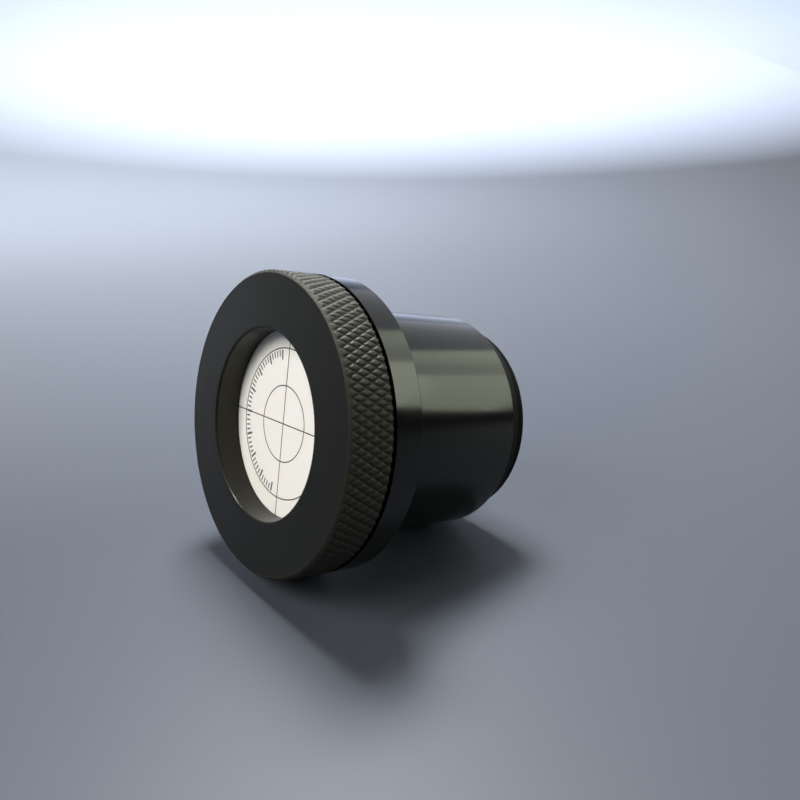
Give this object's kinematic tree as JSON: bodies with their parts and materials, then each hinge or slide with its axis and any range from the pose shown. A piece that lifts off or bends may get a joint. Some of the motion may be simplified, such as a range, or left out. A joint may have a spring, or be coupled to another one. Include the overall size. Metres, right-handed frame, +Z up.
{
  "type": "self-centring reflector mirror insert",
  "caption": "Round telescope insert: a smooth barrel with a mirror in its end, and a knurled clamp ring with a recessed white cross-hair target.",
  "frame": {"origin": "middle of the bounding box's base, on the surface that the part lies on", "axes": "+Z up; the part lies on its flange rim and its barrel's end rim, so its axis runs along +Y and dips 11.3 degrees towards the barrel's open end; the target faces -Y; +X is across the axis"},
  "size_m": [0.04, 0.0414, 0.0412],
  "materials": {
    "black_anodised": "fine-turned aluminium, black anodised, satin gloss with faint tooling lines round the axis",
    "blasted_black": "bead-blasted aluminium, black anodised, matt, slightly olive",
    "black_acetal": "smooth black bearing plastic",
    "bright_steel": "plain bright steel",
    "target_white": "warm white satin plastic with thin grey printed cross-hair, circles and scale marks",
    "black_rubber": "black rubber, matt",
    "grey_print": "thin grey ink printed on the target",
    "mirror_glass": "first-surface mirror"
  },
  "bodies": {
    "barrel": {"barrel_sleeve": "black_anodised", "thrust_washer": "black_acetal", "snap_ring": "bright_steel", "front_slip_washer": "black_acetal", "expansion_ring": "black_rubber"},
    "clamp_ring": {"knurled_ring": "blasted_black", "target_disc": "target_white", "target_gasket": "black_rubber", "target_lock_ring": "black_anodised"},
    "core": {"core_tube": "black_anodised", "key_pin_left": "bright_steel", "key_pin_right": "bright_steel", "rear_slip_washer": "black_acetal", "end_cap": "black_anodised", "mirror_seat_ring": "black_rubber", "mirror": "mirror_glass", "backing_plate": "bright_steel", "adjuster_plate": "black_anodised", "tilt_screw_1": "bright_steel", "tilt_screw_2": "bright_steel", "tilt_screw_3": "bright_steel"}
  },
  "joints": [
    {"name": "ring_turn", "type": "hinge", "parent": "barrel", "child": "clamp_ring", "pos_m": [0, -0.01682, 0.02164], "axis": [0, 0.9806, -0.1959], "range_deg": [0, 270]},
    {"name": "core_slide", "type": "slide", "parent": "barrel", "child": "core", "axis": [0, -0.9806, 0.1959], "range_m": [0, 0.00056], "deforming": ["expansion_ring"]}
  ],
  "couplings": [
    {"joint": "ring_turn", "follows": "core_slide", "rad_per_m": 8377.6}
  ]
}
